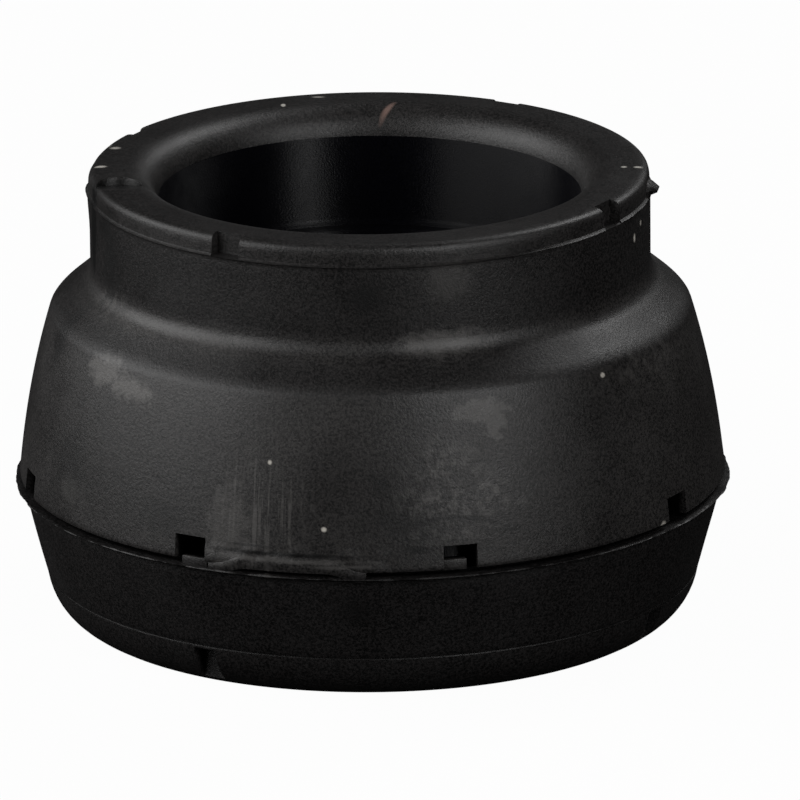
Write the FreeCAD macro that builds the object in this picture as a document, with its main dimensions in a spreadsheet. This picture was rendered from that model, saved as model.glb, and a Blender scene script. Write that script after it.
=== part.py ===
import FreeCAD, Part

import os

import Sketcher

# A strut mount: a turned block of moulded rubber with a neck, bonded round a stepped steel cup
# that stands on a steel plate. The strut's rod passes up through the plate and the cup's floor,
# its nut turns inside the cup, and the thrust bearing sits in the hollow under the plate.
# The origin is the middle of the foot, +Z is up, and sizes are in millimetres and degrees.

doc = FreeCAD.newDocument("strut_mount")

# Sizes

sheet = doc.addObject("Spreadsheet::Sheet", "sizes")
SIZES = [
    ("total_height", 51.6, "foot to the flat of the rim"),
    ("skirt_foot_reach", 37.1, "skirt radius at the scribed line"),
    ("foot_inset", 3.3, "how far the foot's flat ends inside the scribed line"),
    ("foot_low_inset", 1.4, "how far the first bend of the foot's curve lies inside that line"),
    ("foot_low_height", 1.3, "height of that bend"),
    ("foot_high_inset", 0.35, "how far the second bend of the foot's curve lies inside that line"),
    ("foot_high_height", 3.2, "height of that bend"),
    ("skirt_top_reach", 39.35, "skirt radius under the seam"),
    ("skirt_top_drop", 1.8, "how far below the cone's lower edge the skirt stops widening"),
    ("line_height", 4.9, "height of the scribed line"),
    ("line_width", 0.4, "width of the scribed line"),
    ("line_depth", 0.3, "depth of the scribed line"),
    ("seam_height", 16.0, "height of the cone's lower edge, where the two halves of the mould met"),
    ("seam_gap", 0.45, "open height of the seam"),
    ("seam_depth", 0.9, "depth of the seam, in from the skirt"),
    ("fin_reach", 0.75, "how far the fin of flash under the seam stands out over the cone's lower edge"),
    ("fin_root_width", 0.45, "thickness of the fin where it leaves the skirt"),
    ("fin_edge_width", 0.15, "thickness of the fin at its edge"),
    ("cone_lip", 0.8, "how far the cone's lower edge stands out over the skirt"),
    ("cone_bend_reach", 38.75, "cone radius where its side bends in a little more"),
    ("cone_bend_drop", 9.2, "from the top of the cone's side down to that bend"),
    ("cone_top_reach", 36.5, "cone radius at the shoulder"),
    ("cone_top_drop", 1.15, "from the shoulder's turn down to the top of the cone's side"),
    ("shoulder_reach", 35.75, "radius where the shoulder turns to its slope"),
    ("shoulder_drop", 2.3, "from the slope's end down to the shoulder's turn"),
    ("slope_reach", 32.9, "radius where the slope meets the neck's foot"),
    ("slope_drop", 1.45, "from the neck's foot down to the slope's end"),
    ("neck_length", 11.5, "from the rim's flat down to the neck's foot"),
    ("neck_reach", 31.7, "radius of the neck"),
    ("flash_drop", 2.5, "from the rim's flat down to the flash line round the rim"),
    ("flash_width", 0.4, "width of the flash line"),
    ("flash_reach", 0.22, "how far the flash line stands out"),
    ("rim_bevel", 0.6, "bevel of the rim's outer edge"),
    ("mouth_round", 3.3, "rounding from the rim's flat into the cup"),
    ("window_count", 8, "windows round the cone, over the seam"),
    ("first_angle", 59.3, "turn of the first notch and window from the front, to the right"),
    ("window_width", 3.9, "width of each window"),
    ("window_height", 2.75, "height of each window over the seam"),
    ("window_overlap", 0.3, "how far a window is cut in past the plate's rim"),
    ("notch_count", 4, "notches round the rim, and as many round the foot"),
    ("rim_notch_width", 3.6, "width of each notch in the rim"),
    ("rim_notch_depth", 1.4, "depth of each notch in the rim"),
    ("foot_notch_width", 2.8, "width of each notch in the foot"),
    ("foot_notch_depth", 2.2, "depth of each notch in the foot, in from the scribed line"),
    ("scar_offset", 29.0, "distance of the half-moon scar from the middle"),
    ("scar_angle", 77.6, "turn of the scar from the front, to the left"),
    ("scar_radius", 2.6, "radius of the scar's arc"),
    ("scar_depth", 0.9, "depth of the scar at its far side"),
    ("scar_tilt", 10.2, "slope of the scar's floor"),
    ("cup_reach", 24.0, "inner radius of the cup's mouth"),
    ("cup_wall", 2.0, "thickness of the cup's wall"),
    ("well_reach", 21.5, "inner radius of the cup's lower part"),
    ("ledge_depth", 13.6, "from the rim's flat down to the ledge inside the cup"),
    ("ledge_bevel", 0.5, "bevel of the ledge's edge"),
    ("cup_step_bevel", 1.0, "bevel of the step outside the cup"),
    ("cup_floor", 2.5, "thickness of the cup's floor"),
    ("cup_foot_bevel", 1.6, "bevel of the cup's foot, outside"),
    ("well_bevel", 0.9, "bevel of the cup's foot, inside"),
    ("plate_cover", 3.35, "rubber round the bearing plate's rim, under the seam"),
    ("plate_wall", 3.0, "thickness of the bearing plate, which lies level with the seam"),
    ("foot_wall", 7.1, "rubber from the scribed line in to the bearing's hollow"),
    ("rod_reach", 7.0, "radius of the rod's hole"),
]
for row, (name, value, what) in enumerate(SIZES, start=1):
    sheet.set("A%d" % row, name)
    sheet.set("B%d" % row, str(value))
    sheet.set("C%d" % row, what)
    sheet.setAlias("B%d" % row, name)
doc.recompute()


def size(expression):
    """The value of a size, or of a sum of sizes, in millimetres or degrees."""
    value = sheet.evalExpression(expression)
    return float(getattr(value, "Value", value))


# Levels and reaches that follow from the sizes, from the rim down and from the skirt in

NECK_FOOT = "sizes.total_height - sizes.neck_length"
SLOPE_END = NECK_FOOT + " - sizes.slope_drop"
SHOULDER = SLOPE_END + " - sizes.shoulder_drop"
CONE_TOP = SHOULDER + " - sizes.cone_top_drop"
CONE_BEND = CONE_TOP + " - sizes.cone_bend_drop"
FLASH = "sizes.total_height - sizes.flash_drop"
LEDGE = "sizes.total_height - sizes.ledge_depth"
CONE_REACH = "sizes.skirt_top_reach + sizes.cone_lip"
FIN_REACH = CONE_REACH + " + sizes.fin_reach"
SEAM_LOW = "sizes.seam_height - sizes.seam_gap"
PLATE_REACH = "sizes.skirt_top_reach - sizes.plate_cover"
HOLLOW_REACH = "sizes.skirt_foot_reach - sizes.foot_wall"


# Sketches

def origin_part(body, role):
    """A plane or an axis of the body's own origin."""
    for feature in body.Origin.OriginFeatures:
        if feature.Role == role:
            return feature
    raise ValueError("no %s in %s" % (role, body.Label))


def new_sketch(body, name, role):
    """An empty sketch on one of the body's own planes."""
    sketch = body.newObject("Sketcher::SketchObject", name)
    sketch.AttachmentSupport = [(origin_part(body, role), "")]
    sketch.MapMode = "FlatFace"
    return sketch


def bind(sketch, constraint, expression):
    """Adds a constraint whose value follows the sheet."""
    index = sketch.addConstraint(constraint)
    sketch.setExpression("Constraints[%d]" % index, expression)


def draw(sketch, corners):
    """Draws a closed run of straight lines through the corners, each a reach and a height."""
    points = [FreeCAD.Vector(size(reach), size(height), 0) for reach, height in corners]
    for i, start in enumerate(points):
        sketch.addGeometry(Part.LineSegment(start, points[(i + 1) % len(points)]), False)
    for i, (reach, height) in enumerate(corners):
        sketch.addConstraint(Sketcher.Constraint("Coincident", i, 2, (i + 1) % len(points), 1))
        if reach == "0":
            sketch.addConstraint(Sketcher.Constraint("PointOnObject", i, 1, -2))
        else:
            bind(sketch, Sketcher.Constraint("DistanceX", -1, 1, i, 1, points[i].x), reach)
        if height == "0":
            sketch.addConstraint(Sketcher.Constraint("PointOnObject", i, 1, -1))
        else:
            bind(sketch, Sketcher.Constraint("DistanceY", -1, 1, i, 1, points[i].y), height)


def draw_slot(sketch, width, low, high):
    """A rectangle across the middle of the sketch, between two heights."""
    half = size(width) / 2
    bottom = size(low)
    top = size(high)
    corners = [(-half, bottom), (half, bottom), (half, top), (-half, top)]
    corners = [FreeCAD.Vector(x, y, 0) for x, y in corners]
    for i in range(4):
        sketch.addGeometry(Part.LineSegment(corners[i], corners[(i + 1) % 4]), False)
    for i in range(4):
        sketch.addConstraint(Sketcher.Constraint("Coincident", i, 2, (i + 1) % 4, 1))
    for i, way in ((1, "Vertical"), (2, "Horizontal"), (3, "Vertical")):
        sketch.addConstraint(Sketcher.Constraint(way, i))
    sketch.addConstraint(Sketcher.Constraint("Symmetric", 0, 1, 0, 2, -2))
    bind(sketch, Sketcher.Constraint("DistanceX", 0, 1, 0, 2, 2 * half), width)
    bind(sketch, Sketcher.Constraint("DistanceY", -1, 1, 0, 1, bottom), low)
    bind(sketch, Sketcher.Constraint("DistanceY", -1, 1, 2, 1, top), high)


# Features

def turn(body, sketch, name, kind):
    """Turns the sketch once round the body's upright axis."""
    feature = body.newObject("PartDesign::" + kind, name)
    feature.Profile = sketch
    feature.ReferenceAxis = (sketch, ["V_Axis"])
    feature.Angle = 360
    body.Tip = feature
    doc.recompute()
    return feature


def ring_of(body, feature, name, count):
    """Repeats the feature evenly round the body's upright axis."""
    ring = body.newObject("PartDesign::PolarPattern", name)
    ring.Originals = [feature]
    ring.Axis = (origin_part(body, "Z_Axis"), [""])
    ring.Angle = 360
    ring.setExpression("Occurrences", count)
    body.Tip = ring
    doc.recompute()
    return ring


def cut_slots(body, name, width, low, high, floor, reach, count):
    """Cuts a ring of upright slots, each from its floor out past the body's side."""
    before = body.Shape.Volume
    sketch = new_sketch(body, name + "_sketch", "XZ_Plane")
    draw_slot(sketch, width, low, high)
    sketch.setExpression("AttachmentOffset.Base.z", floor)
    slot = body.newObject("PartDesign::Pocket", name)
    slot.Profile = sketch
    slot.Type = "Length"
    slot.Reversed = True
    slot.setExpression("Length", "%s - (%s)" % (reach, floor))
    body.Tip = slot
    doc.recompute()
    ring_of(body, slot, name + "s", count)
    if not body.Shape.Volume < before - 1:
        raise ValueError("%s cut nothing" % name)


# The inserts' outsides, which the rubber is moulded against

CUP_OUTER = "sizes.cup_reach + sizes.cup_wall"
WELL_OUTER = "sizes.well_reach + sizes.cup_wall"
CUP_FOOT = "sizes.seam_height + sizes.plate_wall"
CUP_TOP = "sizes.total_height - sizes.mouth_round"
STEP_UNDER = LEDGE + " - sizes.cup_wall"


def beveled(reach, height, cut, before, after):
    """The two corners that cut one right-angled corner off.

    before and after say which way the run comes in and leaves: up, down, in or out.
    """
    steps = {"up": (0, 1), "down": (0, -1), "out": (1, 0), "in": (-1, 0)}

    def moved(way, back):
        signs = ["" if not n else "+" if (n > 0) != back else "-" for n in steps[way]]
        values = [reach, height]
        return tuple("%s %s %s" % (v, sign, cut) if sign else v for v, sign in zip(values, signs))

    return [moved(before, True), moved(after, False)]


def cup_outside():
    """The cup's outer side, from the middle of its foot up to its top edge."""
    run = beveled(WELL_OUTER, CUP_FOOT, "sizes.cup_foot_bevel", "out", "up")
    run.append((WELL_OUTER, STEP_UNDER))
    run += beveled(CUP_OUTER, STEP_UNDER, "sizes.cup_step_bevel", "out", "up")
    run.append((CUP_OUTER, CUP_TOP))
    return run


def mouth_curve():
    """The rounding from the cup's mouth up to the rim's flat, a quarter circle in three steps."""
    curve = []
    for turned in (0, 30, 60, 90):
        reach = "sizes.cup_reach + sizes.mouth_round * (1 - cos(%d deg))" % turned
        height = CUP_TOP + " + sizes.mouth_round * sin(%d deg)" % turned
        curve.append((reach, height))
    return curve


# Rubber body

rubber = doc.addObject("PartDesign::Body", "rubber_body")
rubber.Label = "rubber_body"

profile = new_sketch(rubber, "rubber_profile", "XZ_Plane")
draw(profile, [
    ("0", "0"),
    ("sizes.skirt_foot_reach - sizes.foot_inset", "0"),
    ("sizes.skirt_foot_reach - sizes.foot_low_inset", "sizes.foot_low_height"),
    ("sizes.skirt_foot_reach - sizes.foot_high_inset", "sizes.foot_high_height"),
    ("sizes.skirt_foot_reach", "sizes.line_height - sizes.line_width / 2"),
    ("sizes.skirt_foot_reach - sizes.line_depth", "sizes.line_height"),
    ("sizes.skirt_foot_reach", "sizes.line_height + sizes.line_width / 2"),
    ("sizes.skirt_top_reach", "sizes.seam_height - sizes.skirt_top_drop"),
    ("sizes.skirt_top_reach", SEAM_LOW + " - sizes.fin_root_width"),
    (FIN_REACH, SEAM_LOW + " - sizes.fin_edge_width"),
    (FIN_REACH, SEAM_LOW),
    ("sizes.skirt_top_reach - sizes.seam_depth", SEAM_LOW),
    ("sizes.skirt_top_reach - sizes.seam_depth", "sizes.seam_height"),
    (CONE_REACH, "sizes.seam_height"),
    ("sizes.cone_bend_reach", CONE_BEND),
    ("sizes.cone_top_reach", CONE_TOP),
    ("sizes.shoulder_reach", SHOULDER),
    ("sizes.slope_reach", SLOPE_END),
    ("sizes.neck_reach", NECK_FOOT),
    ("sizes.neck_reach", FLASH + " - sizes.flash_width / 2"),
    ("sizes.neck_reach + sizes.flash_reach", FLASH),
    ("sizes.neck_reach", FLASH + " + sizes.flash_width / 2"),
    ("sizes.neck_reach", "sizes.total_height - sizes.rim_bevel"),
    ("sizes.neck_reach - sizes.rim_bevel", "sizes.total_height"),
    ("0", "sizes.total_height"),
])
turn(rubber, profile, "rubber_block", "Revolution")

# The hollow for the inserts, the bearing below them and the rounded mouth above

hollow = new_sketch(rubber, "hollow_profile", "XZ_Plane")
draw(hollow, [
    ("0", "0"),
    (HOLLOW_REACH, "0"),
    (HOLLOW_REACH, "sizes.seam_height"),
    (PLATE_REACH, "sizes.seam_height"),
    (PLATE_REACH, CUP_FOOT),
] + cup_outside() + mouth_curve() + [
    ("0", "sizes.total_height"),
])
turn(rubber, hollow, "hollow", "Groove")

OUTSIDE = FIN_REACH + " + 1"
cut_slots(rubber, "window", "sizes.window_width", "sizes.seam_height",
          "sizes.seam_height + sizes.window_height", PLATE_REACH + " - sizes.window_overlap", OUTSIDE,
          "sizes.window_count")
cut_slots(rubber, "rim_notch", "sizes.rim_notch_width", FLASH, "sizes.total_height + 1",
          "sizes.neck_reach - sizes.rim_notch_depth", OUTSIDE, "sizes.notch_count")
cut_slots(rubber, "foot_notch", "sizes.foot_notch_width", "-1", "sizes.line_height - sizes.line_width / 2",
          "sizes.skirt_foot_reach - sizes.foot_notch_depth", OUTSIDE, "sizes.notch_count")

# The half-moon scar: a shallow round cut with a sloping floor

scar = rubber.newObject("PartDesign::SubtractiveCylinder", "scar")
scar.setExpression("Radius", "sizes.scar_radius")
scar.setExpression("Height", "sizes.scar_radius * 2")
scar.AttachmentSupport = [(origin_part(rubber, "XY_Plane"), "")]
scar.MapMode = "FlatFace"
turned = "(sizes.scar_angle + sizes.first_angle) * 1deg"
scar.setExpression("AttachmentOffset.Base.x", "-sizes.scar_offset * sin(%s)" % turned)
scar.setExpression("AttachmentOffset.Base.y", "-sizes.scar_offset * cos(%s)" % turned)
scar.setExpression("AttachmentOffset.Base.z", "sizes.total_height - sizes.scar_depth / 2")
scar_turn = FreeCAD.Rotation(-size("sizes.first_angle"), 0, -size("sizes.scar_tilt"))
scar.AttachmentOffset = FreeCAD.Placement(scar.AttachmentOffset.Base, scar_turn)
rubber.Tip = scar
doc.recompute()

# Steel cup

cup = doc.addObject("PartDesign::Body", "steel_cup")
cup.Label = "steel_cup"

cup_profile = new_sketch(cup, "cup_profile", "XZ_Plane")
WELL_FLOOR = CUP_FOOT + " + sizes.cup_floor"
inside = [("sizes.cup_reach", CUP_TOP)]
inside.append(("sizes.cup_reach", LEDGE))
inside += beveled("sizes.well_reach", LEDGE, "sizes.ledge_bevel", "in", "down")
inside += beveled("sizes.well_reach", WELL_FLOOR, "sizes.well_bevel", "down", "in")
draw(cup_profile, [("sizes.rod_reach", CUP_FOOT)] + cup_outside() + inside + [("sizes.rod_reach", WELL_FLOOR)])
turn(cup, cup_profile, "cup_shell", "Revolution")

# Bearing plate

plate = doc.addObject("PartDesign::Body", "bearing_plate")
plate.Label = "bearing_plate"

disc = new_sketch(plate, "disc", "XY_Plane")
for number, reach in enumerate((PLATE_REACH, "sizes.rod_reach")):
    disc.addGeometry(Part.Circle(FreeCAD.Vector(), FreeCAD.Vector(0, 0, 1), size(reach)), False)
    disc.addConstraint(Sketcher.Constraint("Coincident", number, 3, -1, 1))
    bind(disc, Sketcher.Constraint("Radius", number, size(reach)), reach)
disc.setExpression("AttachmentOffset.Base.z", "sizes.seam_height")
plate_pad = plate.newObject("PartDesign::Pad", "plate_pad")
plate_pad.Profile = disc
plate_pad.setExpression("Length", "sizes.plate_wall")
plate.Tip = plate_pad
doc.recompute()

# The windows and notches stand turned from the front

for body in (rubber, cup, plate):
    body.Placement = FreeCAD.Placement(FreeCAD.Vector(), FreeCAD.Rotation(FreeCAD.Vector(0, 0, 1), 0))
rubber.setExpression("Placement.Rotation.Angle", "sizes.first_angle")
doc.recompute()

# Checks and files

for thing in doc.Objects:
    if "Invalid" in thing.State or "Error" in thing.State:
        raise ValueError("%s failed: %s" % (thing.Name, thing.State))

os.makedirs("parts", exist_ok=True)
for body in (rubber, cup, plate):
    if body.Shape.isNull() or not body.Shape.isValid():
        raise ValueError("%s has no sound shape" % body.Label)
    body.Shape.exportStep("parts/%s.step" % body.Label)
    box = body.Shape.BoundBox
    print("%s: %d solid, %.1f cm3, x %.2f to %.2f, y %.2f to %.2f, z %.2f to %.2f" % (
        body.Label, len(body.Shape.Solids), body.Shape.Volume / 1000,
        box.XMin, box.XMax, box.YMin, box.YMax, box.ZMin, box.ZMax))
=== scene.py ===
# %% [markdown]
# # A strut mount in moulded rubber
# A strut mount sits at the top of a car's front strut and holds the damper's rod in the body
# through rubber. This one is a turned block with a neck, moulded round a stepped steel cup and
# a steel plate. The lesson dresses the plain solids of the frame: the rubber gets its soft
# corners, windows, notches, seam and flash, the steel its coat, and all three their wear.
# Everything is in metres in the frame's own place, so nothing is moved to fit afterwards.

import math

import bpy
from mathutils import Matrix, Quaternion, Vector


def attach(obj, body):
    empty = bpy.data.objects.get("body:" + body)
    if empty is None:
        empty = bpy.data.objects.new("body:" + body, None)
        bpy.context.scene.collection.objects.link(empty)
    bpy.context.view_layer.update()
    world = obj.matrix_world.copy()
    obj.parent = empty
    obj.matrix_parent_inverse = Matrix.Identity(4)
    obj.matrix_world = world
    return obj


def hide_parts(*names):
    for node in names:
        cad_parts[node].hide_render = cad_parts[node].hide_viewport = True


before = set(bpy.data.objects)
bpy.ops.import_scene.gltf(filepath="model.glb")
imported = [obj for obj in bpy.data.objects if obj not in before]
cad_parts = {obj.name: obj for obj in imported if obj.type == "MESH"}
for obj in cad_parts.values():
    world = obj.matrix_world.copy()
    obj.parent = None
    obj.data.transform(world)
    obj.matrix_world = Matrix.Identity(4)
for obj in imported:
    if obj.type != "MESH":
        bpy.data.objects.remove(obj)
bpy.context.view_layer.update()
print("solids:", sorted(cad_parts))

# %% [markdown]
# ## Measures and helpers
# A moulding is measured by how far each ring lies from the axis and how high it stands, and by
# its turn round the axis. Turn 0 faces the camera and grows to the right, so a place is found
# from turn, reach and height. All the measures below are millimetres and degrees.

# %% Places on the mount
MM = 0.001


def place(turn, reach, height):
    """The point at a turn from the front, a reach from the axis and a height."""
    angle = math.radians(turn)
    return Vector((reach * math.sin(angle), -reach * math.cos(angle), height)) * MM


def start_clean():
    """Leaves edit mode with nothing selected."""
    if bpy.context.object and bpy.context.object.mode != "OBJECT":
        bpy.ops.object.mode_set(mode="OBJECT")
    bpy.ops.object.select_all(action="DESELECT")


def only(piece):
    """Makes the piece the one selected and active object."""
    start_clean()
    piece.select_set(True)
    bpy.context.view_layer.objects.active = piece


def count(piece):
    """Prints how many triangles the piece holds."""
    piece.data.calc_loop_triangles()
    print(piece.name, len(piece.data.loop_triangles), "triangles")


# %% [markdown]
# ## Turned pieces
# A lathe shape is drawn as half of its outline and swept once round the axis. Here one vertex is
# extruded along the outline, corner by corner, and a Screw modifier without rise sweeps it; the
# Spin tool does the same, but slowly where the steps are many. A bevel could round the
# corners later, but the outline of a moulding is soft all over, so its curves are drawn in it.

# %% The lathe
def turned(name, outline, around):
    """Extrudes a vertex along a closed outline and sweeps it round the upright axis."""
    start_clean()
    bpy.ops.mesh.primitive_plane_add(size=MM)
    piece = bpy.context.object
    piece.name = name
    bpy.ops.object.mode_set(mode="EDIT")
    bpy.ops.mesh.select_all(action="SELECT")
    bpy.ops.mesh.merge(type="CENTER")
    bpy.ops.transform.translate(value=place(90, *outline[0]))
    for here, there in zip(outline, outline[1:] + outline[:1]):
        step = place(90, *there) - place(90, *here)
        bpy.ops.mesh.extrude_region_move(TRANSFORM_OT_translate={"value": step})
    bpy.ops.mesh.select_all(action="SELECT")
    bpy.ops.mesh.remove_doubles(threshold=1e-7)
    bpy.ops.object.mode_set(mode="OBJECT")
    screw = piece.modifiers.new("lathe", "SCREW")
    screw.steps = screw.render_steps = around
    screw.use_merge_vertices = True
    screw.merge_threshold = 1e-7
    bpy.ops.object.modifier_apply(modifier=screw.name)
    bpy.ops.object.mode_set(mode="EDIT")
    bpy.ops.mesh.select_all(action="SELECT")
    bpy.ops.mesh.normals_make_consistent(inside=False)
    bpy.ops.object.mode_set(mode="OBJECT")
    return piece


def eased(ends, bow, steps):
    """Points along a soft curve between two outline corners, pulled towards a third."""
    (r0, z0), (r2, z2) = ends
    r1, z1 = bow
    points = []
    for i in range(steps + 1):
        t = i / steps
        a, b, c = (1 - t) ** 2, 2 * t * (1 - t), t ** 2
        points.append((a * r0 + b * r1 + c * r2, a * z0 + b * z1 + c * z2))
    return points


# %% [markdown]
# ## The rubber block
# The rubber was pressed hot into a two-part steel mould. Its foot is round, the skirt widens
# up to the seam where the halves met, and a thin fin of flash stands out there. Above it the
# cone leans in to a shoulder, a plain neck and a rim whose mouth rolls into the cup. One long
# curve could be drawn at once, but an outline of named parts is easier to set right.

# %% Outline of the rubber
AROUND = 540
SEAM = 16.0
SEAM_LOW = 15.4
FLASH = 49.1
TOP = 51.6

foot = eased(((33.8, 0.0), (37.12, 4.75)), (36.5, 1.3), 9)
line = [(36.88, 4.8), (36.86, 4.95), (37.1, 5.06)]
skirt = eased(((37.25, 5.3), (39.5, 14.2)), (38.45, 9.6), 14)
fin = [(39.52, 14.55), (39.58, 14.85), (39.8, 14.99), (40.1, 15.1), (40.35, 15.18), (40.55, 15.25),
       (40.62, 15.32), (40.55, 15.38), (40.2, SEAM_LOW), (39.6, SEAM_LOW), (38.45, SEAM_LOW)]
roof = [(38.45, SEAM), (39.2, SEAM), (39.8, SEAM), (40.02, 16.05), (40.1, 16.2)]
cone = eased(((40.1, 16.5), (36.55, 35.1)), (39.15, 26.4), 46)
shoulder = eased(((36.42, 35.45), (35.1, 36.85)), (36.1, 36.05), 6)
slope = eased(((34.8, 37.1), (33.3, 38.35)), (34.05, 37.72), 3)
neck_foot = eased(((33.0, 38.6), (31.8, 40.6)), (31.9, 39.35), 8)
neck = [(31.8, z) for z in (41.6, 42.6, 43.6, 44.6, 45.6, 46.6, 47.4, 48.0, 48.5)]
flash = [(31.78, 48.85), (31.82, 49.0), (32.02, FLASH), (31.84, 49.2), (31.7, 49.34)]
rim = [(31.7, z) for z in (49.7, 50.1, 50.5)]
rim_edge = eased(((31.66, 50.8), (30.6, 51.58)), (31.55, 51.52), 6)
rim_flat = [(r, TOP) for r in (30.1, 29.4, 28.8, 28.2, 27.7)]
mouth = eased(((27.3, 51.58), (24.05, 48.6)), (24.7, 51.3), 14)
inside = [(24.0, 48.3), (26.0, 48.3), (26.0, 37.0), (25.0, 36.0), (23.5, 36.0), (23.5, 20.6), (21.9, 19.0)]
hollow = [(36.0, 19.0), (36.0, 16.0), (30.0, 16.0), (30.0, 8.0), (30.0, 0.5), (30.5, 0.0), (32.2, 0.0)]

rubber = turned("moulded_rubber", foot + line + skirt + fin + roof + cone + shoulder + slope + neck_foot
                + neck + flash + rim + rim_edge + rim_flat + mouth + inside + hollow, AROUND)
count(rubber)

# %% [markdown]
# ## Flash
# Where the mould's halves didn't quite shut, rubber crept out as a thin ragged fin. A Displace
# modifier with a cloud texture frays the fin's edge; it could be pushed by hand, point by point,
# but the cloud gives the same raggedness all round. The fin stands out a little more on the
# right, and the rim's flash has a bump on the left, so a point of each is pulled out.

# %% Ragged edges
def turn_of(point):
    """The turn of a point round the axis, from the front to the right."""
    return math.degrees(math.atan2(point.x, -point.y))


def fray(piece, wanted, strength, grain, direction="NORMAL"):
    """Displaces the wanted vertices by a cloud; wanted takes a turn, a reach and a height."""
    only(piece)
    group = piece.vertex_groups.new(name="frayed")
    chosen = []
    for vertex in piece.data.vertices:
        reach = math.hypot(vertex.co.x, vertex.co.y) / MM
        if wanted(turn_of(vertex.co), reach, vertex.co.z / MM):
            chosen.append(vertex.index)
    group.add(chosen, 1.0, "REPLACE")
    cloud = bpy.data.textures.new("cloud", "CLOUDS")
    cloud.noise_scale = grain * MM
    cloud.noise_depth = 2
    ripple = piece.modifiers.new("ripple", "DISPLACE")
    ripple.texture = cloud
    ripple.texture_coords = "LOCAL"
    ripple.direction = direction
    ripple.mid_level = 0.5
    ripple.strength = strength * MM
    ripple.vertex_group = group.name
    bpy.ops.object.modifier_apply(modifier=ripple.name)
    piece.vertex_groups.clear()
    print(piece.name, "frayed at", len(chosen), "points")


def pulled(piece, point, move, size):
    """Moves the vertex nearest to a point, and its neighbours after it."""
    only(piece)
    near = min(piece.data.vertices, key=lambda v: (v.co - point).length).index
    bpy.ops.object.mode_set(mode="EDIT")
    bpy.ops.mesh.select_mode(type="VERT")
    bpy.ops.mesh.select_all(action="DESELECT")
    bpy.ops.object.mode_set(mode="OBJECT")
    piece.data.vertices[near].select = True
    bpy.ops.object.mode_set(mode="EDIT")
    bpy.ops.transform.translate(value=move, use_proportional_edit=True, use_proportional_connected=True,
                                proportional_edit_falloff="SMOOTH", proportional_size=size * MM)
    bpy.ops.object.mode_set(mode="OBJECT")


fray(rubber, lambda turn, reach, height: reach > 40.15 and 15.05 < height < 15.41, 0.5, 2.6)
pulled(rubber, place(84, 40.6, 15.32), place(84, 0.2, 0), 9.0)
fray(rubber, lambda turn, reach, height: -29 < turn < 3 and reach > 39 and 16.02 < height < 18.4, 0.55, 1.6)
fray(rubber, lambda turn, reach, height: reach > 31.9 and 49.0 < height < 49.15, 0.22, 2.2)
pulled(rubber, place(-91, 32.0, FLASH), place(-91, 0.25, 0), 5.0)

# %% [markdown]
# ## Torn edges
# On the left front the cone's own edge is torn, and a second lip stands up there. At the right
# of the rim a spur of flash sticks out. Each is a small closed outline spun through a few
# degrees and pulled in at its ends, then frayed. They could be sculpted, but a spun lip follows
# the round of the block by itself.

# %% Torn lip and spur
def lip(name, first, last, outline, around):
    """Spins a closed outline from one turn to another and caps its ends."""
    start_clean()
    bpy.ops.mesh.primitive_plane_add(size=MM)
    piece = bpy.context.object
    piece.name = name
    bpy.ops.object.mode_set(mode="EDIT")
    bpy.ops.mesh.select_all(action="SELECT")
    bpy.ops.mesh.merge(type="CENTER")
    bpy.ops.transform.translate(value=place(first, *outline[0]))
    for here, there in zip(outline, outline[1:] + outline[:1]):
        step = place(first, *there) - place(first, *here)
        bpy.ops.mesh.extrude_region_move(TRANSFORM_OT_translate={"value": step})
    bpy.ops.mesh.select_all(action="SELECT")
    bpy.ops.mesh.remove_doubles(threshold=1e-7)
    bpy.ops.mesh.edge_face_add()
    bpy.ops.mesh.spin(steps=around, angle=math.radians(first - last), center=(0, 0, 0), axis=(0, 0, 1))
    bpy.ops.mesh.select_all(action="SELECT")
    bpy.ops.mesh.normals_make_consistent(inside=False)
    bpy.ops.object.mode_set(mode="OBJECT")
    return piece


TORN_FIRST = -27
TORN_LAST = -1
torn_outline = [(40.0, 15.98), (40.3, 15.9), (40.46, 16.5), (40.5, 17.1), (40.4, 17.5), (40.34, 17.0),
                (40.3, 16.4)]
torn = lip("torn_lip", TORN_FIRST, TORN_LAST, torn_outline, 90)
for end in (TORN_FIRST, TORN_LAST):
    pulled(torn, place(end, 40.4, 17.5), Vector((0, 0, -1.35)) * MM, 5.0)
fray(torn, lambda turn, reach, height: height > 16.9, 0.9, 1.5, "Z")
fray(torn, lambda turn, reach, height: height > 16.3, 0.35, 1.1)

SPUR_FIRST = 79
SPUR_LAST = 89
spur_outline = [(31.3, 49.5), (32.2, 49.2), (32.75, 49.5), (32.85, 49.8), (32.4, 50.2), (31.3, 50.9)]
spur = lip("torn_spur", SPUR_FIRST, SPUR_LAST, spur_outline, 24)
for end in (SPUR_FIRST, SPUR_LAST):
    pulled(spur, place(end, 32.85, 49.8), place(end, -1.4, 0.2), 2.2)
fray(spur, lambda turn, reach, height: reach > 32.1, 0.4, 0.9)

# %% [markdown]
# ## Windows, notches and the scar
# Pins in the mould held the steel plate while the rubber flowed, and left eight windows over the
# seam. Four small stops left notches in the rim and in the foot. They are cut with blocks, as
# one Boolean, which keeps their corners crisp as the mould's pins do. The half-moon scar on the
# rim is where a sprue was torn off: a shallow round cut whose floor slopes.

# %% The cutters
FIRST = 14.3
WINDOWS = [FIRST + 45 * i for i in range(8)]
NOTCHES = WINDOWS[1::2]


def block(name, turn, reach, height, size):
    """A block that stands square to the axis; size is its depth out, width and height."""
    start_clean()
    bpy.ops.mesh.primitive_cube_add(size=MM)
    piece = bpy.context.object
    piece.name = name
    piece.scale = (size[1], size[0], size[2])
    piece.rotation_euler = (0, 0, math.radians(turn))
    piece.location = place(turn, reach, height)
    bpy.ops.object.transform_apply(location=True, rotation=True, scale=True)
    return piece


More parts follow.
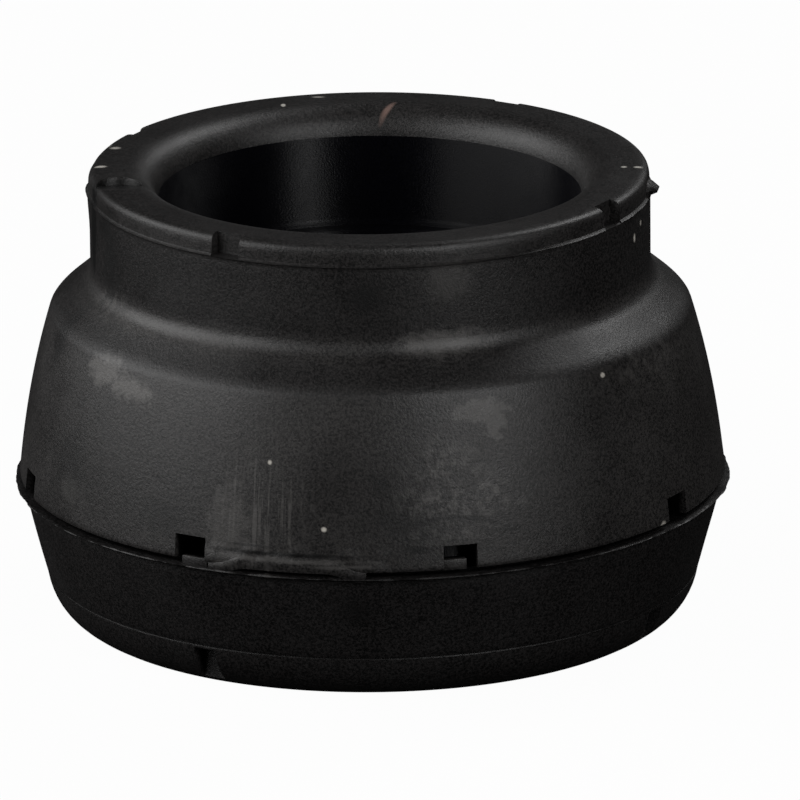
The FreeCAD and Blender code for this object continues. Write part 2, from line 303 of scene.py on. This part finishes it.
def joined(pieces):
    """Joins the pieces into the first of them."""
    only(pieces[0])
    for piece in pieces:
        piece.select_set(True)
    if len(pieces) > 1:
        bpy.ops.object.join()
    return bpy.context.object


def cut_away(piece, cutters):
    """Joins the cutters and takes them out of the piece."""
    tool = joined(cutters)
    only(piece)
    boolean = piece.modifiers.new("cut", "BOOLEAN")
    boolean.operation = "DIFFERENCE"
    boolean.solver = "EXACT"
    boolean.object = tool
    bpy.ops.object.modifier_apply(modifier=boolean.name)
    bpy.data.objects.remove(tool)


SCAR_FLOOR = Vector((-28.3, -6.2, 51.15))
SCAR_RISE = Vector((0, 0.46, 2.56))
SCAR_RADIUS = 2.6
SCAR_TILT = -10.2
cutters = [block("window_pin", t, 39.5, 17.24, (7.2, 3.9, 3.1)) for t in WINDOWS]
cutters += [block("rim_stop", t, 32.3, 50.9, (4.0, 3.6, 3.6)) for t in NOTCHES]
cutters += [block("foot_stop", t, 36.4, 1.8, (3.0, 2.8, 5.8)) for t in NOTCHES]
start_clean()
bpy.ops.mesh.primitive_cylinder_add(vertices=64, radius=SCAR_RADIUS * MM, depth=2 * SCAR_RADIUS * MM,
                                    rotation=(math.radians(SCAR_TILT), 0, 0),
                                    location=(SCAR_FLOOR + SCAR_RISE) * MM)
bpy.ops.object.transform_apply(location=True, rotation=True, scale=True)
cutters.append(bpy.context.object)
print("notches at", [round(t % 360, 1) for t in NOTCHES])
cut_away(rubber, cutters)

# %% [markdown]
# ## What stayed in the windows
# Two windows aren't clean. In the front one a tab of rubber fills the lower left, and the one
# to its left has a low sill of flash. Both are plain blocks with worn edges, pressed into the
# window, which is simpler than cutting each window to a shape of its own.

# %% Tabs
tab = block("window_tab", 13.35, 39.35, 16.55, (1.1, 2.75, 1.25))
sill = block("window_sill", -30.1, 39.2, 15.75, (1.0, 3.3, 1.1))
for piece in (tab, sill):
    only(piece)
    bevel = piece.modifiers.new("worn", "BEVEL")
    bevel.width = 0.12 * MM
    bevel.segments = 2
    bpy.ops.object.modifier_apply(modifier=bevel.name)
joined([rubber, torn, spur, tab, sill])
count(rubber)

# %% [markdown]
# ## Finishing the rubber's surface
# The curved skin is smooth and the cut edges are sharp, so faces are smoothed by angle.

# %% Smooth skin
only(rubber)
bpy.ops.object.shade_smooth_by_angle(angle=math.radians(32))
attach(rubber, "root")
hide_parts("rubber_body")

# %% [markdown]
# ## The steel cup and the plate
# The cup was drawn from steel sheet and dipped in black. Its mouth is wide, a narrow ledge runs
# round inside, and the well below takes the rod's nut. It is spun finely, so that the light
# runs down its wall in soft bands and the ledge catches a thin bright line.

# %% Cup and plate
cup_outline = [(7.0, 19.0), (21.7, 19.0), (23.3, 20.7), (23.48, 21.4), (23.48, 36.02), (25.0, 36.02),
               (25.98, 37.0), (25.98, 48.28), (24.02, 48.28), (24.0, 48.1), (24.0, 38.6), (23.9, 38.2),
               (23.7, 38.05), (23.5, 37.8), (23.2, 37.85)]
cup_outline += eased(((23.0, 38.0), (21.5, 37.3)), (21.6, 38.1), 6)
cup_outline += [(21.5, 34.0), (21.5, 28.0), (21.5, 22.6), (21.2, 21.9), (20.5, 21.5), (7.4, 21.5),
                (7.0, 21.2)]
cup = turned("dipped_cup", cup_outline, 256)
only(cup)
bpy.ops.object.shade_smooth_by_angle(angle=math.radians(40))
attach(cup, "root")
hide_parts("steel_cup")
count(cup)

plate_outline = [(7.0, 16.3), (7.3, 16.0), (35.7, 16.0), (36.0, 16.3), (36.0, 18.7), (35.7, 19.0),
                 (7.3, 19.0), (7.0, 18.7)]
plate = turned("dipped_plate", plate_outline, 192)
only(plate)
bpy.ops.object.shade_smooth_by_angle(angle=math.radians(40))
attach(plate, "root")
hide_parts("bearing_plate")
count(plate)

# %% [markdown]
# ## Materials
# Each material is a small net of nodes. Object coordinates are metres from the origin and are
# turned to millimetres first, so a pattern's scale is the number of its waves in a millimetre.
# One function turns a hex colour to linear and another adds a node with its settings and links.

# %% Helpers for materials
TIMES = {"operation": "MULTIPLY"}
RGBA = {"data_type": "RGBA"}


def linear(code):
    """A colour written in sRGB hex, as linear red, green, blue and alpha."""
    parts = [int(code[i:i + 2], 16) / 255 for i in (1, 3, 5)]
    return [c / 12.92 if c <= 0.04045 else ((c + 0.055) / 1.055) ** 2.4 for c in parts] + [1.0]


def blank(name):
    """The nodes of a new material, with none in it."""
    material = bpy.data.materials.new(name)
    material.use_nodes = True
    material.node_tree.nodes.clear()
    return material.node_tree


def add(tree, kind, settings=None, links=None, values=None):
    """Adds a node; a link goes from another node's output to this node's input."""
    node = tree.nodes.new("ShaderNode" + kind)
    for key, value in (settings or {}).items():
        setattr(node, key, value)
    for key, value in (values or {}).items():
        node.inputs[key].default_value = value
    for key, (source, output) in (links or {}).items():
        tree.links.new(source.outputs[output], node.inputs[key])
    return node


def wear(piece, material):
    """Gives the piece the one material."""
    piece.data.materials.clear()
    piece.data.materials.append(material)


# %% [markdown]
# ## Marks on a surface
# A stain or a smear sits at one place, so each is an oval round a point, with a frayed edge. On
# the outside the ovals are laid out by turn and height, on the rim by the flat place. They could
# be painted on an image, but a table of ovals needs no unwrapping and no file. A row of a table
# holds the oval's middle, its two half sizes, the softness of its edge and its strength.

# %% Marks on a surface
def in_millimetres(tree):
    """The place in millimetres, the same place as turn and height, and its three parts."""
    where = add(tree, "TexCoord")
    solid = add(tree, "VectorMath", {"operation": "SCALE"}, {0: (where, "Object")}, {"Scale": 1000.0})
    axes = add(tree, "SeparateXYZ", links={0: (solid, 0)})
    front = add(tree, "Math", TIMES, {0: (axes, "Y")}, {1: -1.0})
    angle = add(tree, "Math", {"operation": "ARCTAN2"}, {0: (axes, "X"), 1: (front, 0)})
    turn = add(tree, "Math", {"operation": "DEGREES"}, {0: (angle, 0)})
    side = add(tree, "CombineXYZ", links={"X": (turn, 0), "Y": (axes, "Z")})
    return solid, side, axes


def patches(tree, plane, frayed, table):
    """One mask for a table of ovals."""
    mask = None
    for x, y, across, up, soft, strength in table:
        moved = add(tree, "VectorMath", {"operation": "MULTIPLY_ADD"}, {0: (plane, 0)},
                    {1: (1 / across, 1 / up, 0), 2: (-x / across, -y / up, 0)})
        far = add(tree, "VectorMath", {"operation": "LENGTH"}, {0: (moved, 0)})
        rough = add(tree, "Math", {"operation": "ADD"}, {0: (far, "Value"), 1: (frayed, 0)})
        spot = add(tree, "MapRange", None, {0: (rough, 0)}, {1: 1 + soft, 2: 1 - soft, 4: strength})
        if mask is None:
            mask = spot
        else:
            mask = add(tree, "Math", {"operation": "MAXIMUM"}, {0: (mask, 0), 1: (spot, 0)})
    return mask


# %% [markdown]
# ## Moulded rubber
# The block is rubber filled with carbon black and pressed in a blasted steel mould. That gives
# the eye a deep, faintly brown black with a fine grain and a dull sheen. Its grain is drawn about
# 0.3 mm wide, coarser than the mould's own, so that it shows in the render. The mottling is
# about 1 mm wide and the clouds are 9 mm.

# %% Grain of the rubber
CLOUDS = 0.11
MOTTLING = 0.9
GRAIN = 3.4

tree = blank("moulded carbon black rubber")
solid, side, axes = in_millimetres(tree)
cloud = add(tree, "TexNoise", None, {"Vector": (solid, 0)},
            {"Scale": CLOUDS, "Detail": 6.0, "Roughness": 0.6})
mottle = add(tree, "TexNoise", None, {"Vector": (solid, 0)},
             {"Scale": MOTTLING, "Detail": 5.0, "Roughness": 0.7})
grain = add(tree, "TexNoise", None, {"Vector": (solid, 0)},
            {"Scale": GRAIN, "Detail": 3.0, "Roughness": 0.8})
fine_fray = add(tree, "MapRange", None, {0: (mottle, 0)}, {1: 0.3, 2: 0.7, 3: -0.55, 4: 0.55})
soft_fray = add(tree, "MapRange", None, {0: (cloud, 0)}, {1: 0.3, 2: 0.7, 3: -0.3, 4: 0.3})

tone = add(tree, "ValToRGB", links={"Fac": (grain, 0)})
for point, at, code in zip(tone.color_ramp.elements, (0.42, 0.60), ("#030303", "#272525")):
    point.position = at
    point.color = linear(code)
print("ground of the rubber:", len(tree.nodes), "nodes")

# %% [markdown]
# ## Bloom and painted light by height
# Wax that came out of the rubber left a grey bloom on the upper half. It is thicker in clouds and
# stops at the seam. The same ramp over the height paints light and shade as well: the skirt below
# the seam, the shoulder, the neck and the rim's flat are painted darker, and the fillet at the neck's
# foot and the rim's outer wall lighter, as the light falls on them. A ramp over the height
# carries that, which a mask per zone could do as well with more nodes.

# %% Bloom and painted light by height
RAMP_TOP = 52
# Levels of bloom and of painted light and shade, from the foot up to the rim's flat.
BLOOM_AND_LIGHT_LEVELS = [(15.7, 0.0), (16.1, 1.0), (34.6, 1.0), (35.6, 0.3), (37.4, 0.25), (38.6, 0.9), (40.2, 0.9),
         (41.6, 0.2), (48.9, 0.25), (49.3, 0.7), (51.0, 0.6), (51.5, 0.2)]
share = add(tree, "MapRange", None, {0: (axes, "Z")}, {1: 0, 2: RAMP_TOP})
above = add(tree, "ValToRGB", links={"Fac": (share, 0)})
levels = above.color_ramp.elements
while len(levels) < len(BLOOM_AND_LIGHT_LEVELS):
    levels.new(1.0)
for point, (height, level) in zip(levels, BLOOM_AND_LIGHT_LEVELS):
    point.position = height / RAMP_TOP
    point.color = (level, level, level, 1)
thick = add(tree, "MapRange", None, {0: (cloud, 0)}, {1: 0.32, 2: 0.68, 3: 0.35, 4: 0.85})
clouded = add(tree, "Math", TIMES, {0: (above, 0), 1: (thick, 0)})
speckle = add(tree, "MapRange", None, {0: (grain, 0)}, {1: 0.42, 2: 0.58, 3: 0.15, 4: 1.15})
bloom_and_painted_light = add(tree, "Math", TIMES, {0: (clouded, 0), 1: (speckle, 0)})
colour = add(tree, "Mix", RGBA, {0: (bloom_and_painted_light, 0), 6: (tone, 0)}, {7: linear("#363433")})
print("bloom in", len(BLOOM_AND_LIGHT_LEVELS), "levels")

# %% [markdown]
# ## Scuffs, smears, stains and painted light
# Handling left pale scuffs and mottled patches on the cone, upright smears on its left front and
# dark stains where the bloom was wiped off. Some of the pale ovals are painted highlights, on the
# left of the shoulder's edge and on the fillet at the neck's foot. Over the front window the
# shade of a crease is painted as a dark line that bends down to both sides, which is an oval in a
# plane whose height is bowed with the turn.

# %% Pale places and painted highlights, and mottled places
PALE_AND_HIGHLIGHT_OVALS = [(-54, 34.2, 4.5, 1.5, 0.35, 0.85), (-47, 33.3, 5.5, 1.1, 0.35, 0.8),
        (15, 40.2, 8, 1.3, 0.4, 0.55), (19.0, 33.4, 4.6, 1.2, 0.12, 0.5),
        (21.4, 32.2, 2.2, 1.9, 0.15, 0.5), (-24, 20.5, 3.4, 4.2, 0.35, 0.35),
        (-59.5, 20.2, 2.2, 1.2, 0.5, 0.5), (16, 47.2, 4.5, 2.0, 0.6, 0.3),
        (-42, 39.4, 16, 0.9, 0.5, 0.25)]
MOTTLED = [(13.5, 27.6, 6.0, 2.6, 0.5, 0.8), (15, 23.6, 8.5, 2.0, 0.5, 0.9), (14, 20.6, 6.5, 1.2, 0.5, 0.7),
           (60, 34, 12, 2.5, 0.6, 0.4), (-62, 39.4, 10, 1.4, 0.5, 0.6)]
# The two pale ovals on the left of the shoulder's edge and the two on the fillet at the neck's foot are
# painted highlight; the rest are scuffs.
pale_and_highlight = patches(tree, side, fine_fray, PALE_AND_HIGHLIGHT_OVALS)
colour = add(tree, "Mix", RGBA, {0: (pale_and_highlight, 0), 6: (colour, 2)}, {7: linear("#5d5b59")})
mottled_place = patches(tree, side, soft_fray, MOTTLED)
mottled_grain = add(tree, "MapRange", None, {0: (mottle, 0)}, {1: 0.46, 2: 0.60})
mottled = add(tree, "Math", TIMES, {0: (mottled_place, 0), 1: (mottled_grain, 0)})
colour = add(tree, "Mix", RGBA, {0: (mottled, 0), 6: (colour, 2)}, {7: linear("#514f4d")})
print(len(PALE_AND_HIGHLIGHT_OVALS), "pale and", len(MOTTLED), "mottled places")

# %% Upright smears
SMEAR = [(-19, 22.0, 6.5, 5.2, 0.5, 0.7)]
stretched = add(tree, "VectorMath", TIMES, {0: (side, 0)}, {1: (1.0, 0.07, 0.0)})
streak = add(tree, "TexNoise", None, {"Vector": (stretched, 0)},
             {"Scale": 1.1, "Detail": 4.0, "Roughness": 0.65})
streaks = add(tree, "MapRange", None, {0: (streak, 0)}, {1: 0.50, 2: 0.62})
smear_place = patches(tree, side, fine_fray, SMEAR)
smear = add(tree, "Math", TIMES, {0: (streaks, 0), 1: (smear_place, 0)})
colour = add(tree, "Mix", RGBA, {0: (smear, 0), 6: (colour, 2)}, {7: linear("#565452")})
print("smears over", 2 * SMEAR[0][2], "degrees")

# %% Dark stains and the crease's painted shade
DARK = [(-73, 34.8, 2.6, 2.6, 0.4, 0.8), (-60, 22.6, 4.0, 3.0, 0.5, 0.7), (-36, 20.4, 4.0, 1.8, 0.5, 0.6),
        (1.5, 26.0, 1.4, 1.0, 0.5, 0.6), (-67, 45.0, 3.4, 4.2, 0.5, 0.8), (-70, 48.0, 3.0, 1.2, 0.5, 0.7),
        (-1, 45.6, 3.6, 1.5, 0.5, 0.7), (7.2, 18.6, 2.0, 0.35, 0.4, 0.9), (22, 20.1, 2.6, 0.3, 0.5, 0.8),
        (-3, 11.2, 3.0, 1.4, 0.6, 0.6), (9.0, 20.0, 2.4, 0.9, 0.5, 0.5), (4, 22.0, 5.0, 1.6, 0.6, 0.4)]
# The crease isn't in the mesh; its shade is painted as a dark line bowed over the front window.
CREASE_SHADE_OVAL = [(14.5, 21.95, 9.0, 0.22, 0.6, 0.85)]
CREASE_TOP = 12.5
CREASE_BOW = 0.017
stain = patches(tree, side, fine_fray, DARK)
colour = add(tree, "Mix", RGBA, {0: (stain, 0), 6: (colour, 2)}, {7: linear("#0e0e0e")})
turn_part = add(tree, "SeparateXYZ", links={0: (side, 0)})
off = add(tree, "Math", {"operation": "SUBTRACT"}, {0: (turn_part, "X")}, {1: CREASE_TOP})
square = add(tree, "Math", TIMES, {0: (off, 0), 1: (off, 0)})
arch = add(tree, "Math", {"operation": "MULTIPLY_ADD"}, {0: (square, 0), 2: (turn_part, "Y")},
           {1: CREASE_BOW})
bowed = add(tree, "CombineXYZ", links={"X": (turn_part, "X"), "Y": (arch, 0)})
crease_shade = patches(tree, bowed, soft_fray, CREASE_SHADE_OVAL)
colour = add(tree, "Mix", RGBA, {0: (crease_shade, 0), 6: (colour, 2)}, {7: linear("#0e0e0e")})
print(len(DARK), "dark stains")

# %% [markdown]
# ## Dust, crumbs and painted light on the torn edge
# Dust lies in single specks all over, which a Voronoi texture gives with one point per cell, and
# only some cells are picked. Larger crumbs lie on the rim, a few chips of chalk on the side and
# one reddish smear at the back of the rim. On the torn lip a black line of painted shade runs over
# a lighter band of painted highlight on its edge.

# %% Dust specks
cells = add(tree, "TexVoronoi", None, {"Vector": (solid, 0)}, {"Scale": 0.17})
dot = add(tree, "MapRange", None, {0: (cells, "Distance")}, {1: 0.035, 2: 0.02})
pick = add(tree, "SeparateColor", links={0: (cells, "Color")})
few = add(tree, "MapRange", None, {0: (pick, "Red")}, {1: 0.70, 2: 0.72})
dust = add(tree, "Math", TIMES, {0: (dot, 0), 1: (few, 0)})
colour = add(tree, "Mix", RGBA, {0: (dust, 0), 6: (colour, 2)}, {7: linear("#a8a49d")})
print("dust cells of", round(1 / 0.17, 1), "mm")

# %% Crumbs on the rim
CRUMBS = [(-30.5, 0.9, 0.6, 0.35, 0.4, 0.9), (-28.9, 8.4, 0.5, 0.4, 0.5, 0.7),
          (-30.0, 9.6, 0.5, 0.35, 0.5, 0.5), (-9.9, 25.6, 0.25, 0.45, 0.3, 0.9),
          (-5.9, 28.8, 0.7, 0.3, 0.5, 0.6), (28.8, -1.0, 0.3, 0.3, 0.4, 0.9),
          (30.4, -1.1, 0.42, 0.3, 0.4, 0.9)]
high = add(tree, "MapRange", None, {0: (axes, "Z")}, {1: 50.8, 2: 51.0})
crumb = patches(tree, solid, soft_fray, CRUMBS)
crumbs = add(tree, "Math", TIMES, {0: (crumb, 0), 1: (high, 0)})
colour = add(tree, "Mix", RGBA, {0: (crumbs, 0), 6: (colour, 2)}, {7: linear("#d2cec6")})
print(len(CRUMBS), "crumbs")

# %% Painted shade and highlight on the torn lip
# A black line of painted shade along the top of the torn lip, and a band of painted highlight below it.
TORN_SHADE_LINE = [(-14, 17.85, 13.0, 0.22, 0.5, 0.95), (-20, 18.6, 3.5, 0.16, 0.5, 0.6)]
TORN_EDGE_HIGHLIGHT = [(-15, 17.25, 11.5, 0.25, 0.5, 0.5), (-5, 16.7, 5.0, 0.2, 0.5, 0.4)]
torn_painted_shade = patches(tree, side, soft_fray, TORN_SHADE_LINE)
colour = add(tree, "Mix", RGBA, {0: (torn_painted_shade, 0), 6: (colour, 2)}, {7: linear("#060606")})
torn_painted_highlight = patches(tree, side, fine_fray, TORN_EDGE_HIGHLIGHT)
colour = add(tree, "Mix", RGBA, {0: (torn_painted_highlight, 0), 6: (colour, 2)}, {7: linear("#5d5b59")})
print("torn from", TORN_FIRST, "to", TORN_LAST, "degrees")

# %% Chalk and the reddish smear
CHALK = [(69.6, 46.2, 0.5, 0.45, 0.4, 1.0), (73.8, 47.3, 0.5, 0.3, 0.4, 0.8),
         (54.8, 16.0, 0.7, 0.45, 0.4, 1.0), (-17.2, 28.0, 0.35, 0.25, 0.4, 1.0),
         (-7.8, 20.9, 0.4, 0.25, 0.4, 1.0), (45.0, 34.6, 0.4, 0.2, 0.4, 0.9)]
CLAY = [(21.2, -14.2, 1.1, 0.3, 0.5, 0.7)]
chalk = patches(tree, side, soft_fray, CHALK)
colour = add(tree, "Mix", RGBA, {0: (chalk, 0), 6: (colour, 2)}, {7: linear("#c8c3ba")})
slanted = add(tree, "VectorMath", {"operation": "DOT_PRODUCT"}, {0: (solid, 0)}, {1: (0.62, 0.78, 0)})
across = add(tree, "VectorMath", {"operation": "DOT_PRODUCT"}, {0: (solid, 0)}, {1: (0.78, -0.62, 0)})
oblique = add(tree, "CombineXYZ", links={"X": (slanted, "Value"), "Y": (across, "Value")})
clay = patches(tree, oblique, soft_fray, CLAY)
near_top = add(tree, "MapRange", None, {0: (axes, "Z")}, {1: 49.0, 2: 49.3})
clays = add(tree, "Math", TIMES, {0: (clay, 0), 1: (near_top, 0)})
colour = add(tree, "Mix", RGBA, {0: (clays, 0), 6: (colour, 2)}, {7: linear("#8f756c")})
print(len(CHALK), "chips of chalk")

# %% [markdown]
# ## Painted shade in the hollows
# Light hardly gets into the seam, the windows and the scar's far wall, so their shade is painted
# in by reach and height, with next to no sheen. The torn spur and the rim round it are darkened
# as well.

# %% Painted shade in the hollows
# Painted shade in the seam's gap and in the windows, by reach and height.
level_part = add(tree, "CombineXYZ", links={"X": (axes, "X"), "Y": (axes, "Y")})
reach = add(tree, "VectorMath", {"operation": "LENGTH"}, {0: (level_part, 0)})
deep = add(tree, "MapRange", None, {0: (reach, "Value")}, {1: 39.6, 2: 39.1})
over = add(tree, "MapRange", None, {0: (axes, "Z")}, {1: 15.36, 2: 15.42})
under = add(tree, "MapRange", None, {0: (axes, "Z")}, {1: 18.95, 2: 18.9})
slot = add(tree, "Math", TIMES, {0: (over, 0), 1: (under, 0)})
slot_painted_shade = add(tree, "Math", TIMES, {0: (deep, 0), 1: (slot, 0)})
colour = add(tree, "Mix", RGBA, {0: (slot_painted_shade, 0), 6: (colour, 2)}, {7: linear("#040404")})

# Painted shade on the far wall of the scar.
scar_place = patches(tree, solid, soft_fray, [(-28.3, -5.6, 2.75, 2.5, 0.05, 1.0)])
scar_low = add(tree, "MapRange", None, {0: (axes, "Z")}, {1: 51.42, 2: 51.2})
scar_painted_shade = add(tree, "Math", TIMES, {0: (scar_place, 0), 1: (scar_low, 0)})
colour = add(tree, "Mix", RGBA, {0: (scar_painted_shade, 0), 6: (colour, 2)}, {7: linear("#050505")})

outside = add(tree, "MapRange", None, {0: (reach, "Value")}, {1: 31.85, 2: 32.1})
spur_place = patches(tree, side, soft_fray, [(83, 49.7, 7.0, 1.6, 0.2, 1.0)])
spur_dark = add(tree, "Math", TIMES, {0: (outside, 0), 1: (spur_place, 0)})
colour = add(tree, "Mix", RGBA, {0: (spur_dark, 0), 6: (colour, 2)}, {7: linear("#060505")})
print("colour of the rubber:", len(tree.nodes), "nodes")

# %% The rubber's skin
rough_skin = add(tree, "MapRange", None, {0: (cloud, 0)}, {1: 0.3, 2: 0.7, 3: 0.36, 4: 0.5})
pits = add(tree, "Bump", None, {"Height": (grain, 0)}, {"Strength": 0.45, "Distance": 0.00012})
lumps = add(tree, "Bump", None, {"Height": (mottle, 0), "Normal": (pits, 0)},
            {"Strength": 0.14, "Distance": 0.0003})
# The sheen is taken out where the shade of the hollows is painted.
dull = add(tree, "MapRange", None, {0: (slot_painted_shade, 0)}, {3: 0.5, 4: 0.05})
skin = add(tree, "BsdfPrincipled", links={"Base Color": (colour, 2), "Roughness": (rough_skin, 0),
                                          "Specular IOR Level": (dull, 0), "Normal": (lumps, 0)})
add(tree, "OutputMaterial", links={"Surface": (skin, "BSDF")})
wear(rubber, bpy.data.materials["moulded carbon black rubber"])
print(rubber.name, "wears", rubber.data.materials[0].name)

# %% [markdown]
# ## Black dip coated steel
# Cup and plate were pressed from sheet and dipped in black lacquer, which looks nearly black and
# slightly blue. The sheet was drawn along the cup's wall, so its sheen is stretched upright and
# the light stands in upright bands. The lacquer's own ripple is 0.2 mm wide.

# %% Dipped steel
HAZE = 0.5
RIPPLE = 5.0

tree = blank("black dip coated steel")
solid = in_millimetres(tree)[0]
haze = add(tree, "TexNoise", None, {"Vector": (solid, 0)}, {"Scale": HAZE, "Detail": 5.0})
fine = add(tree, "TexNoise", None, {"Vector": (solid, 0)}, {"Scale": RIPPLE, "Detail": 2.0})
gloss = add(tree, "MapRange", None, {0: (haze, 0)}, {1: 0.3, 2: 0.7, 3: 0.36, 4: 0.44})
coat_tone = add(tree, "ValToRGB", links={"Fac": (fine, 0)})
for point, at, code in zip(coat_tone.color_ramp.elements, (0.3, 0.7), ("#020204", "#09090e")):
    point.position = at
    point.color = linear(code)
cells = add(tree, "TexVoronoi", None, {"Vector": (solid, 0)}, {"Scale": 0.2})
dot = add(tree, "MapRange", None, {0: (cells, "Distance")}, {1: 0.035, 2: 0.02})
colour = add(tree, "Mix", RGBA, {0: (dot, 0), 6: (coat_tone, 0)}, {7: linear("#55535a")})
soft = add(tree, "Bump", None, {"Height": (fine, 0)}, {"Strength": 0.3, "Distance": 0.00008})
along = add(tree, "Tangent", {"direction_type": "RADIAL", "axis": "Z"})
coat = add(tree, "BsdfPrincipled",
           links={"Base Color": (colour, 2), "Roughness": (gloss, 0), "Normal": (soft, 0),
                  "Tangent": (along, 0)},
           values={"Specular IOR Level": 0.2, "Anisotropic": 0.95, "Anisotropic Rotation": 0.25})
add(tree, "OutputMaterial", links={"Surface": (coat, "BSDF")})
for piece in (cup, plate):
    wear(piece, bpy.data.materials["black dip coated steel"])
print("steel:", len(tree.nodes), "nodes")

# %% [markdown]
# ## Floor, light and camera
# The studio is a plain white table, which is dark to all but the camera, so that it throws no
# light up the black rubber. A large soft box stands on the left, a narrow one in front on the
# right, and a weak one behind on the right lights the roll of the mouth. Glossy rays meet the
# white room at a low level, as at full white black rubber turns grey. The camera stands far off
# with a long lens, looking down by 17 degrees.

# %% Floor
start_clean()
bpy.ops.mesh.primitive_plane_add(size=6)
floor = bpy.context.object
floor.name = "table"
tree = blank("white table")
path = add(tree, "LightPath")
paper = add(tree, "BsdfDiffuse", values={"Color": linear("#262626")})
glow = add(tree, "Emission", values={"Color": linear("#ffffff"), "Strength": 1.0})
shade = add(tree, "BsdfDiffuse", values={"Color": linear("#e6e6e6")})
seen = add(tree, "MixShader", values={"Fac": 0.03})
tree.links.new(glow.outputs[0], seen.inputs[1])
tree.links.new(shade.outputs[0], seen.inputs[2])
both = add(tree, "MixShader", links={"Fac": (path, "Is Camera Ray")})
tree.links.new(paper.outputs[0], both.inputs[1])
tree.links.new(seen.outputs[0], both.inputs[2])
add(tree, "OutputMaterial", links={"Surface": (both, "Shader")})
wear(floor, bpy.data.materials["white table"])
print("table at height", round(floor.location.z / MM, 1))

# %% World
GLOSSY_LEVEL = 0.02
ROOM_LEVEL = 0.015

world = bpy.data.worlds.new("studio")
bpy.context.scene.world = world
world.use_nodes = True
tree = world.node_tree
tree.nodes.clear()
path = add(tree, "LightPath")
dim = add(tree, "Math", {"operation": "MULTIPLY_ADD"}, {0: (path, "Is Glossy Ray")},
          {1: GLOSSY_LEVEL, 2: ROOM_LEVEL})
full = add(tree, "Math", {"operation": "MAXIMUM"},
           {0: (path, "Is Camera Ray"), 1: (path, "Is Transmission Ray")})
level = add(tree, "Math", {"operation": "MAXIMUM"}, {0: (dim, 0), 1: (full, 0)})
sky = add(tree, "Background", links={"Strength": (level, 0)}, values={"Color": (1, 1, 1, 1)})
add(tree, "OutputWorld", links={"Surface": (sky, 0)})
print("room at", ROOM_LEVEL, "and", ROOM_LEVEL + GLOSSY_LEVEL, "for glossy rays")

# %% Soft boxes
def soft_box(name, turn, reach, height, size, watts, aim=(0, 0, 28)):
    """A rectangular lamp at a place, turned to the mount; sizes in millimetres."""
    start_clean()
    spot = place(turn, reach, height)
    bpy.ops.object.light_add(type="AREA", location=spot)
    lamp = bpy.context.object
    lamp.name = name
    lamp.data.shape = "RECTANGLE"
    lamp.data.size = size[0] * MM
    lamp.data.size_y = size[1] * MM
    lamp.data.energy = watts
    towards = Vector(aim) * MM - spot
    lamp.rotation_euler = towards.to_track_quat("-Z", "Y").to_euler()
    return lamp


soft_box("left_box", -80, 520, 270, (900, 420), 3.4)
soft_box("front_box", 36, 560, 260, (110, 420), 1.4)
soft_box("back_box", 138, 440, 430, (200, 180), 0.9)

# %% Camera
TILT = 17.06
AWAY = 1800.0
ROLL = -0.473
AIM_RIGHT = 3.227
AIM_HEIGHT = 23.908
SENSOR = 36
PHOTO_PIXELS = 800
LENS_PIXELS = 15817.6

bpy.ops.object.camera_add()
camera = bpy.context.object
camera.name = "camera"
tilt = math.radians(TILT)
camera.location = Vector((AIM_RIGHT, -AWAY * math.cos(tilt), AIM_HEIGHT + AWAY * math.sin(tilt))) * MM
camera.rotation_mode = "QUATERNION"
forward = Vector((0, math.cos(tilt), -math.sin(tilt)))
level_view = forward.to_track_quat("-Z", "Y")
camera.rotation_quaternion = level_view @ Quaternion((0, 0, 1), math.radians(ROLL))
camera.data.sensor_width = SENSOR
camera.data.lens = LENS_PIXELS * SENSOR / PHOTO_PIXELS
camera.data.clip_end = 20
camera.data.clip_start = 0.05
bpy.context.scene.camera = camera
bpy.context.scene.view_settings.view_transform = "Standard"
print("lens of", round(camera.data.lens), "mm")
